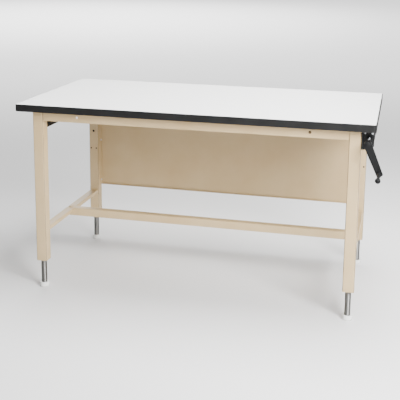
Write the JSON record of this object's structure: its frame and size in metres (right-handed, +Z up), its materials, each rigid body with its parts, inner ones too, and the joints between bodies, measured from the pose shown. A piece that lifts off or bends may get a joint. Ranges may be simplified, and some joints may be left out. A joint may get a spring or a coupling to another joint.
{
  "type": "height-adjustable work table",
  "caption": "Work table with a laminate top on a steel leg frame; a hand crank turns a hydraulic pump that drives rods out of the legs to raise and lower the top.",
  "frame": {"origin": "on the floor, straight below the middle of the worktop", "axes": "+X to the user's right along the worktop, +Y away from the user to the back, +Z up"},
  "size_m": [1.5569, 0.9044, 0.8446],
  "materials": {
    "core_board": "matte",
    "white_laminate": "satin",
    "backing_sheet": "matte",
    "edge_plastic": "satin",
    "beige_paint": "satin",
    "black_paint": "satin",
    "barrel_steel": "satin",
    "bronze": "machined",
    "polished_rod": "polished",
    "piston_steel": "machined",
    "foot_plastic": "satin",
    "seal_rubber": "matte",
    "brass_fitting": "machined",
    "blackened_steel": "blackened",
    "zinc_fastener": "zinc plated",
    "pump_casting": "satin",
    "crank_paint": "satin",
    "black_nylon": "glossy"
  },
  "bodies": {
    "frame": {"worktop_core": "core_board", "worktop_laminate": "white_laminate", "worktop_backer": "backing_sheet", "edge_moulding": "edge_plastic", "leg_front_left": "beige_paint", "leg_front_right": "beige_paint", "leg_back_left": "beige_paint", "leg_back_right": "beige_paint", "front_apron": "beige_paint", "rear_apron": "beige_paint", "left_end_rail": "black_paint", "right_end_rail": "black_paint", "left_crossbar": "beige_paint", "right_crossbar": "beige_paint", "stretcher": "beige_paint", "modesty_panel": "beige_paint", "cylinder_front_left": "barrel_steel", "cylinder_front_right": "barrel_steel", "cylinder_back_left": "barrel_steel", "cylinder_back_right": "barrel_steel", "gland_front_left": "bronze", "gland_front_right": "bronze", "gland_back_left": "bronze", "gland_back_right": "bronze", "wiper_rings": "seal_rubber", "cylinder_ports": "brass_fitting", "cylinder_screws": "blackened_steel", "worktop_screws": "zinc_fastener", "panel_screws": "zinc_fastener", "stretcher_bolts": "zinc_fastener", "pump_front_bracket": "black_paint", "pump_rear_bracket": "black_paint", "pump_body": "pump_casting", "pump_bush": "black_nylon", "pump_ports": "brass_fitting", "pump_screws": "zinc_fastener"},
    "crank": {"crank_shaft": "polished_rod", "crank_arm": "crank_paint", "hub_cap": "black_nylon", "grip_pin": "piston_steel"},
    "grip": {"grip": "black_nylon", "grip_plug": "black_nylon"},
    "drive": {"drive_sleeve": "blackened_steel"},
    "ram_front_left": {"rod_front_left": "polished_rod", "piston_front_left": "piston_steel", "foot_front_left": "foot_plastic"},
    "ram_front_right": {"rod_front_right": "polished_rod", "piston_front_right": "piston_steel", "foot_front_right": "foot_plastic"},
    "ram_back_left": {"rod_back_left": "polished_rod", "piston_back_left": "piston_steel", "foot_back_left": "foot_plastic"},
    "ram_back_right": {"rod_back_right": "polished_rod", "piston_back_right": "piston_steel", "foot_back_right": "foot_plastic"}
  },
  "joints": [
    {"name": "crank_turn", "type": "hinge", "parent": "frame", "child": "drive", "pos_m": [0.7316, 0, 0.76735], "axis": [0, 1, 0], "range_deg": [-4680, 12600]},
    {"name": "crank_stow", "type": "slide", "parent": "drive", "child": "crank", "axis": [0, 1, 0], "range_m": [0, 0.125]},
    {"name": "grip_spin", "type": "hinge", "parent": "crank", "child": "grip", "pos_m": [0.77845, 0, 0.6596], "axis": [0, 1, 0], "continuous": true},
    {"name": "lift_front_left", "type": "slide", "parent": "frame", "child": "ram_front_left", "axis": [0, 0, -1], "range_m": [-0.08275, 0.22245]},
    {"name": "lift_front_right", "type": "slide", "parent": "frame", "child": "ram_front_right", "axis": [0, 0, -1], "range_m": [-0.08275, 0.22245]},
    {"name": "lift_back_left", "type": "slide", "parent": "frame", "child": "ram_back_left", "axis": [0, 0, -1], "range_m": [-0.08275, 0.22245]},
    {"name": "lift_back_right", "type": "slide", "parent": "frame", "child": "ram_back_right", "axis": [0, 0, -1], "range_m": [-0.08275, 0.22245]}
  ],
  "couplings": [
    {"joint": "lift_front_left", "follows": "crank_turn", "m_per_rad": 0.0010106},
    {"joint": "lift_front_right", "follows": "crank_turn", "m_per_rad": 0.0010106},
    {"joint": "lift_back_left", "follows": "crank_turn", "m_per_rad": 0.0010106},
    {"joint": "lift_back_right", "follows": "crank_turn", "m_per_rad": 0.0010106}
  ]
}
